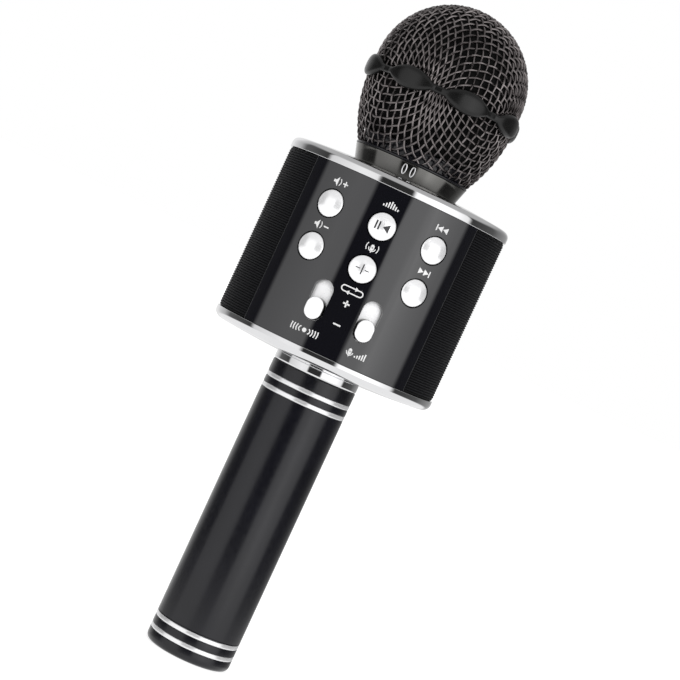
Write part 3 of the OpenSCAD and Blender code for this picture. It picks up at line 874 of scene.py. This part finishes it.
def make_cloth(name, node):
    """Stretched cloth with level ribs, tucked in along its edges."""
    side = 1 if middle_mm(node).x > 0 else -1
    points = np.array([v.co for v in frame["nodes"][node].data.vertices]) / MM
    angles = np.degrees(np.arctan2(side * points[:, 0], -points[:, 1]))
    front, back = angles.min(), angles.max()
    ribs = int(PANEL_H / RIB_PITCH)
    margin = 0.05
    outer, inner = [], []
    for h in np.linspace(margin, PANEL_H - margin, ribs * RIB_ROWS + 1):
        phase = (h - margin) / (PANEL_H - 2 * margin) * ribs
        swell = abs(math.sin(math.pi * phase)) ** RIB_POWER
        level = min(1.0, min(h, PANEL_H - h) / TUCK_W)
        height = (0, 0, PANEL_LOW + h)
        row, inner_row = [], []
        for a in np.linspace(front, back, CLOTH_COLUMNS):
            from_side = math.radians(min(a - front, back - a)) * BODY_R
            tuck = math.sqrt(max(0.0, level * min(1.0, from_side / TUCK_SIDE_W)))
            r = BODY_R - TUCK + (TUCK - RIB_DEPTH + RIB_DEPTH * swell) * tuck
            row.append(outward(side * a) * r + height)
            inner_row.append(outward(side * a) * (BODY_R - CLOTH_T) + height)
        outer.append(row)
        inner.append(inner_row)
    outer, inner = np.array(outer), np.array(inner)
    if side < 0:
        outer, inner = outer[:, ::-1], inner[:, ::-1]
    mesh_points, faces = slab(outer, inner)
    piece = add_piece(name, mesh_points, faces, "microphone", "black_cloth", (node,), smooth_deg=80)


def make_panel_beads():
    """The thin rounded lips where the front panel meets the cloth on each side."""
    edge = math.degrees(math.asin(high_mm("front_panel").x / BODY_R))
    bead_r, beyond_deg = 0.28, 0.15
    heights = np.linspace(PANEL_LOW + 0.1, PANEL_TOP - 0.1, 24)
    beads = []
    for side in (-1, 1):
        out = outward(side * (edge + beyond_deg))
        centres = np.array([out * (BODY_R - bead_r + 0.02) + (0, 0, z) for z in heights])
        beads.append((centres, np.array([out] * len(heights))))
    points, faces = tubes(beads, bead_r, sides=12)
    add_piece("panel_lips", points, faces, "microphone", "gloss_black")


# ---- push buttons and slide controls ----

BUTTON_R = 4.6
BUTTON_DOME_R = 7.5
BUTTON_OUT = 1.8
BUTTON_DOME_MID = BODY_R + BUTTON_OUT - BUTTON_DOME_R
FLANGE_R = BUTTON_R + 0.65
FLANGE_LOW = 36.45
FLANGE_TOP = 37.15
SLIDER_DEG = 12.7
KNOB_W = 6.1
KNOB_L = 7.7
SKIRT_W = 7.8
SKIRT_BACK = -2.72
SKIRT_EDGE = -2.45
SKIRT_FACE = -2.36
OUTLINE_POINTS = 48


def stadium(width, length):
    """Outline of a slot shape, anticlockwise."""
    r, straight = width / 2, (length - width) / 2
    points = []
    for i in range(OUTLINE_POINTS):
        a = 2 * math.pi * i / OUTLINE_POINTS
        shift = straight if math.sin(a) >= 0 else -straight
        points.append((r * math.cos(a), shift + r * math.sin(a)))
    return np.array(points)


def make_button(node):
    """A push button: a dark flange and wall under a silver domed cap."""
    angle, z = angle_of(node), middle_mm(node).z
    body = node.removeprefix("button_")
    turns = np.linspace(0, 2 * math.pi, 72, endpoint=False)

    def ring(r, out):
        return on_body(angle, z, [(r * math.cos(t), r * math.sin(t), out) for t in turns])

    edge = math.asin(BUTTON_R / BUTTON_DOME_R)
    rim = BUTTON_DOME_MID + BUTTON_DOME_R * math.cos(edge)
    wall = [
        ring(FLANGE_R, FLANGE_LOW), ring(FLANGE_R, FLANGE_TOP),
        ring(BUTTON_R, FLANGE_TOP + 0.1), ring(BUTTON_R, rim - 0.25),
    ]
    cap = [ring(BUTTON_R - 0.15, rim - 0.3), ring(BUTTON_R, rim - 0.12)]
    for t in np.linspace(0.985, 0.0, 16):
        r = max(BUTTON_DOME_R * math.sin(edge * t), 0.02)
        cap.append(ring(r, BUTTON_DOME_MID + BUTTON_DOME_R * math.cos(edge * t)))
    points, faces = capped_loft(wall)
    add_piece(f"wall_{node}", points, faces, body, "dark_chrome")
    points, faces = capped_loft(cap)
    add_piece(f"cap_{node}", points, faces, body, "satin_silver", (node,), smooth_deg=35)


def make_slider(node):
    """A slide control: a silver skirt under the panel, and a dark-walled knob with a silver top."""
    side = 1 if middle_mm(node).x > 0 else -1
    angle, z = side * SLIDER_DEG, middle_mm(node).z
    skirt_l = high_mm(node).z - low_mm(node).z
    body = node.removeprefix("slider_")

    def skirt_ring(side_inset, end_inset, height):
        outline = stadium(SKIRT_W - side_inset, skirt_l - end_inset)
        flat = np.column_stack([outline, np.full(OUTLINE_POINTS, height)])
        return wrapped(angle, z, flat, BODY_R)

    def knob_ring(inset, height):
        outline = stadium(KNOB_W - inset, KNOB_L - inset)
        flat = np.column_stack([outline, np.full(OUTLINE_POINTS, BODY_R + height)])
        return on_body(angle, z, flat)

    skirt = [
        skirt_ring(0, 0, SKIRT_BACK), skirt_ring(0, 0, SKIRT_EDGE),
        skirt_ring(0.2, 0.2, SKIRT_FACE), skirt_ring(2.2, 2, SKIRT_FACE),
    ]
    wall = [knob_ring(0, -2.5), knob_ring(0, 1.2), knob_ring(0.15, 1.35)]
    top = [
        knob_ring(0.3, 1.1), knob_ring(0.12, 1.4), knob_ring(0.35, 1.68), knob_ring(0.9, 1.88),
        knob_ring(1.9, 2.0), knob_ring(3.6, 2.05), knob_ring(5.6, 2.06),
    ]
    points, faces = capped_loft(wall)
    add_piece(f"wall_{node}", points, faces, body, "dark_chrome")
    points, faces = joined([capped_loft(skirt), capped_loft(top)])
    add_piece(f"rounded_{node}", points, faces, body, "pearl_silver", (node,), smooth_deg=50)


# ---- printed icons, as thin raised ink, one with a painted reflection streak ----

INK_T = 0.05


def strip(xs, lows, highs, rows=7):
    """A flat patch between two curves over xs, as a grid of (x, y)."""
    return np.array([
        [(x, low + (high - low) * i / (rows - 1)) for x, low, high in zip(xs, lows, highs)]
        for i in range(rows)
    ])


def bar(x, y, width, height):
    xs = np.linspace(x - width / 2, x + width / 2, 3 + int(width / 0.3))
    return strip(xs, [y - height / 2] * len(xs), [y + height / 2] * len(xs))


def arrow(x, y, width, height, way=1):
    """A solid triangle with its point towards +x where way is 1."""
    xs = np.linspace(x - width / 2, x + width / 2, 8)
    halves = [max(height / 2 * (0.5 - way * (v - x) / width), 0.01) for v in xs]
    return strip(xs, [y - h for h in halves], [y + h for h in halves])


def disc(x, y, radius):
    xs = np.linspace(x - radius * 0.999, x + radius * 0.999, 14)
    halves = [math.sqrt(max(radius ** 2 - (v - x) ** 2, 1e-4)) for v in xs]
    return strip(xs, [y - h for h in halves], [y + h for h in halves])


def bow(x, y, radius, width, start, end, steps=20):
    """A curved stroke from one angle to another."""
    turns = np.radians(np.linspace(start, end, steps))
    return np.array([
        [(x + r * math.cos(t), y + r * math.sin(t)) for t in turns]
        for r in (radius + width / 2, radius - width / 2)
    ])


def print_icon(name, body, material, patches, place):
    """Lays every patch on a surface. place turns (x, y, height) grids into points."""

    def layer(patch, height):
        return place(np.concatenate([patch, np.full(patch.shape[:2] + (1,), height)], axis=-1))

    points, faces = joined([slab(layer(patch, INK_T), layer(patch, -INK_T)) for patch in patches])
    add_piece(name, points, faces, body, material)


def on_panel(angle, z):
    return lambda flat: wrapped(angle, z, flat, BODY_R)


def on_dome(node):
    """Places patches on a button's domed face."""
    angle, z = angle_of(node), middle_mm(node).z

    def place(flat):
        far = BUTTON_DOME_R + flat[..., 2]
        out = BUTTON_DOME_MID + np.sqrt(far ** 2 - flat[..., 0] ** 2 - flat[..., 1] ** 2)
        local = np.stack([flat[..., 0], flat[..., 1], out], axis=-1)
        return on_body(angle, z, local.reshape(-1, 3)).reshape(local.shape)

    return place


def speaker(x):
    return [bar(x - 0.75, 0, 0.7, 0.9), arrow(x, 0, 1.3, 3.2, -1)]


def plus(x, y, size, width):
    return [bar(x, y, size, width), bar(x, y, width, size)]


def microphone_icon(x):
    return [
        disc(x, 0.6, 0.62), bar(x, 0.2, 1.24, 0.8), disc(x, -0.2, 0.62),
        bow(x, 0.1, 1.15, 0.3, 180, 360), bar(x, -1.3, 0.3, 0.5),
    ]


def rising_bars(x, heights, step=0.85, width=0.45):
    first = x - step * (len(heights) - 1) / 2
    return [bar(first + step * i, h / 2 - 1.1, width, h) for i, h in enumerate(heights)]


def make_icons():
    """Plain symbols where the controls are labelled, and a painted dark reflection streak on the mode
    button.
    """
    upper = middle_mm("button_play").z
    lower = middle_mm("button_mode").z
    side = angle_of("button_next")
    label_up = 7.6
    symbols = {
        "volume_up": (-side, upper + label_up, speaker(-1.4) + [bow(-1.2, 0, 1.6, 0.3, -45, 45)]
                      + plus(2.2, 0, 1.9, 0.45)),
        "volume_down": (-side, lower + label_up, speaker(-1.4) + [bow(-1.2, 0, 1.6, 0.3, -45, 45)]
                        + [bar(2.2, 0, 1.9, 0.45)]),
        "search": (0, upper + label_up, rising_bars(0, (0.7, 1.3, 1.9, 2.4, 1.9, 1.3, 0.7))),
        "voice": (0, lower + label_up, microphone_icon(0) + [
            bow(0, 0.2, 2.1, 0.3, -35, 35), bow(0, 0.2, 2.1, 0.3, 145, 215),
        ]),
        "previous": (side, upper + label_up, [
            bar(-2.4, 0, 0.45, 2.1), arrow(-1.1, 0, 1.9, 2.1, -1), arrow(1.0, 0, 1.9, 2.1, -1),
        ]),
        "next": (side, lower + label_up, [
            bar(2.4, 0, 0.45, 2.1), arrow(1.1, 0, 1.9, 2.1), arrow(-1.0, 0, 1.9, 2.1),
        ]),
        "repeat": (0, lower - 7.9, [
            bar(0, 0.95, 5.6, 0.4), bar(0, -0.95, 5.6, 0.4), bow(-2.8, 0, 0.95, 0.4, 90, 270),
            bow(2.8, 0, 0.95, 0.4, -90, 90), arrow(1.4, 0.95, 1.2, 1.5), arrow(-1.4, -0.95, 1.2, 1.5, -1),
        ]),
        "echo": (-12.9, PANEL_LOW + 5.2, [
            bow(way * 1.1, 0, 0.9 + 0.95 * i, 0.38, middle - half, middle + half)
            for way, middle in ((-1, 180), (1, 0))
            for i, half in enumerate((70, 38, 24, 18))
        ] + [disc(0, 0, 0.75)]),
        "voice_level": (14.5, PANEL_LOW + 4.9, microphone_icon(-2.6) + rising_bars(
            1.2, (0.6, 1.0, 1.4, 1.9, 2.4)
        )),
        "more": (0, middle_mm("slider_echo").z + 5.6, plus(0, 0, 2.3, 0.55)),
        "less": (0, middle_mm("slider_echo").z - 1.9, [bar(0, 0, 2.6, 0.55)]),
    }
    for name, (angle, z, patches) in symbols.items():
        print_icon(f"icon_{name}", "microphone", "print_white", patches, on_panel(angle, z))
    print_icon("icon_play_pause", "play", "print_dark", [
        bar(-2.1, 0, 0.55, 2.9), bar(-1.0, 0, 0.55, 2.9), arrow(1.45, 0, 2.2, 3.0, -1),
    ], on_dome("button_play"))
    # On the mode button the upright bar is a painted dark reflection streak down the cap's middle; the
    # two dashes beside it are print.
    print_icon("icon_mode_and_painted_streak", "mode", "print_dark", [
        bar(0, 0, 0.4, 3.6), bar(-1.6, 0, 1.5, 0.32), bar(1.6, 0, 1.5, 0.32),
    ], on_dome("button_mode"))


def make_rear_icons():
    jack, port = middle_mm("headphone_jack").z, middle_mm("charging_port").z
    card, power = middle_mm("card_slot").z, middle_mm("power_switch_case").z
    beside = 180 + 12
    symbols = {
        "headphones": (jack, [
            bow(0, -0.3, 1.4, 0.35, 0, 180), bar(-1.35, -0.8, 0.7, 1.3), bar(1.35, -0.8, 0.7, 1.3),
        ]),
        "charge": (port, [arrow(-0.5, 0.5, 1.4, 1.6, -1), arrow(0.5, -0.5, 1.4, 1.6)]),
        "card": (card, [bar(0, -0.2, 1.8, 2.0), bar(-0.2, 1.0, 1.4, 0.5)]),
        "power": (power, [bow(0, 0, 1.2, 0.35, 125, 415), bar(0, 0.9, 0.35, 1.4)]),
    }
    for name, (z, patches) in symbols.items():
        print_icon(f"icon_{name}", "microphone", "print_white", patches, on_panel(beside, z))


# ---- studio ----

BRIGHTEST = 2.0
CEILING = 0.5
CEILING_FROM = 0.3
CEILING_FULL = 0.6
GROUND = 1.0
GROUND_FROM = -0.19
GROUND_FULL = -0.3
FILL = 1.5
FILL_WAY = Vector((-0.15, 1, -0.5))
FILL_WIDTH_DEG = 30
FLOOR_REACH = 12.0

# Light round the horizon, as (degrees from the front, brightness)
STUDIO = (
    (-180, 0.75), (-158, 0.9), (-130, 0.52), (-118, 0.12), (-82, 0.05), (-77, 0.8), (-40, 1.05),
    (-24, 1.0), (-20, 0.03), (13, 0.03), (17, 1.3), (32, 1.35), (42, 1.75), (60, 1.3), (77, 1.0),
    (82, 0.05), (118, 0.1), (130, 0.2), (158, 0.35), (180, 0.75),
)


def make_world():
    """The studio light that surfaces see, dimmer overhead; the camera itself sees plain white."""
    world = bpy.data.worlds.new("studio")
    bpy.context.scene.world = world
    world.use_nodes = True
    tree = world.node_tree
    tree.nodes.clear()

    def node(kind, **settings):
        made = tree.nodes.new(kind)
        for name, value in settings.items():
            setattr(made, name, value)
        return made

    def math_node(operation, first, second=None):
        made = node("ShaderNodeMath", operation=operation)
        for k, value in enumerate((first, second)):
            if value is None:
                continue
            if isinstance(value, (int, float)):
                made.inputs[k].default_value = value
            else:
                tree.links.new(value, made.inputs[k])
        return made.outputs[0]

    direction = node("ShaderNodeTexCoord").outputs["Generated"]
    parts = node("ShaderNodeSeparateXYZ")
    tree.links.new(direction, parts.inputs[0])
    turn = math_node("ARCTAN2", parts.outputs["X"], math_node("MULTIPLY", parts.outputs["Y"], -1.0))
    place = math_node("ADD", math_node("DIVIDE", turn, 2 * math.pi), 0.5)
    ramp = node("ShaderNodeValToRGB")
    elements = ramp.color_ramp.elements
    while len(elements) < len(STUDIO):
        elements.new(0.5)
    for element, (angle, light) in zip(elements, STUDIO):
        element.position = angle / 360 + 0.5
        element.color = (light / BRIGHTEST, light / BRIGHTEST, light / BRIGHTEST, 1)
    tree.links.new(place, ramp.inputs["Fac"])

    def blend(first, level, low, high):
        """Fades the light to one level as the direction rises from low to high."""
        ranged = node("ShaderNodeMapRange", interpolation_type="SMOOTHSTEP")
        ranged.inputs["From Min"].default_value = low
        ranged.inputs["From Max"].default_value = high
        tree.links.new(parts.outputs["Z"], ranged.inputs["Value"])
        mix = node("ShaderNodeMix", data_type="RGBA")
        mix.inputs["B"].default_value = (level, level, level, 1)
        tree.links.new(ranged.outputs["Result"], mix.inputs["Factor"])
        tree.links.new(first, mix.inputs["A"])
        return mix.outputs["Result"]

    light = blend(ramp.outputs["Color"], CEILING / BRIGHTEST, CEILING_FROM, CEILING_FULL)
    light = blend(light, GROUND / BRIGHTEST, GROUND_FROM, GROUND_FULL)
    lit = node("ShaderNodeBackground")
    lit.inputs["Strength"].default_value = BRIGHTEST
    tree.links.new(light, lit.inputs["Color"])
    seen = node("ShaderNodeBackground")
    seen.inputs["Color"].default_value = (1, 1, 1, 1)
    seen.inputs["Strength"].default_value = 1.0
    choose = node("ShaderNodeMixShader")
    tree.links.new(node("ShaderNodeLightPath").outputs["Is Camera Ray"], choose.inputs["Fac"])
    tree.links.new(lit.outputs[0], choose.inputs[1])
    tree.links.new(seen.outputs[0], choose.inputs[2])
    tree.links.new(choose.outputs[0], node("ShaderNodeOutputWorld").inputs["Surface"])


def make_fill():
    """A broad soft light from the camera side that mirrors do not show."""
    data = bpy.data.lights.new("fill", "SUN")
    data.energy = FILL
    data.angle = math.radians(FILL_WIDTH_DEG)
    light = bpy.data.objects.new("fill", data)
    bpy.context.scene.collection.objects.link(light)
    light.rotation_mode = "QUATERNION"
    light.rotation_quaternion = FILL_WAY.to_track_quat("-Z", "Y")
    light.visible_glossy = False


def make_floor():
    """A pale floor. Mirror reflections look past it to the studio's own floor glow."""
    material = bpy.data.materials.new("pale_floor")
    material.use_nodes = True
    tree = material.node_tree
    tree.nodes.clear()
    diffuse = tree.nodes.new("ShaderNodeBsdfDiffuse")
    diffuse.inputs["Color"].default_value = (0.5, 0.5, 0.5, 1)
    glow = tree.nodes.new("ShaderNodeEmission")
    glow.inputs["Strength"].default_value = 0.8
    together = tree.nodes.new("ShaderNodeAddShader")
    clear = tree.nodes.new("ShaderNodeBsdfTransparent")
    choose = tree.nodes.new("ShaderNodeMixShader")
    path = tree.nodes.new("ShaderNodeLightPath")
    output = tree.nodes.new("ShaderNodeOutputMaterial")
    tree.links.new(diffuse.outputs[0], together.inputs[0])
    tree.links.new(glow.outputs[0], together.inputs[1])
    tree.links.new(path.outputs["Is Glossy Ray"], choose.inputs["Fac"])
    tree.links.new(together.outputs[0], choose.inputs[1])
    tree.links.new(clear.outputs[0], choose.inputs[2])
    tree.links.new(choose.outputs[0], output.inputs["Surface"])
    mesh = bpy.data.meshes.new("floor")
    corners = [(x * FLOOR_REACH, y * FLOOR_REACH, 0) for x, y in ((-1, -1), (1, -1), (1, 1), (-1, 1))]
    mesh.from_pydata(corners, [], [(0, 1, 2, 3)])
    mesh.materials.append(material)
    floor = bpy.data.objects.new("floor", mesh)
    bpy.context.scene.collection.objects.link(floor)


# ---- build ----

make_camera()
bpy.context.scene.view_settings.view_transform = "Standard"
make_world()
make_fill()
make_floor()
paint_cad_nodes()
make_dome()
make_bowl()
make_anti_roll_ring()
make_neck_ring()
make_eyelets()
make_grille_ring()
make_end_plate("crowned_plate_top", "top_end_plate", PANEL_TOP, way=1, edge_r=2.2, seat_r=19.5)
make_end_plate("crowned_plate_low", "bottom_end_plate", PANEL_LOW, way=-1, edge_r=2.7, seat_r=15.7)
make_panel_beads()
make_cloth("ribbed_cloth_left", "side_cloth_left")
make_cloth("ribbed_cloth_right", "side_cloth_right")
make_tube()
make_trim("bright_rings_top", "upper_trim_rings", "microphone")
make_trim("bright_rings_tail", "tail_trim_rings", "tail_end")
make_tail()
make_collar()
for button in BUTTONS:
    make_button(button)
for slider in SLIDERS:
    make_slider(slider)
make_icons()
make_rear_icons()
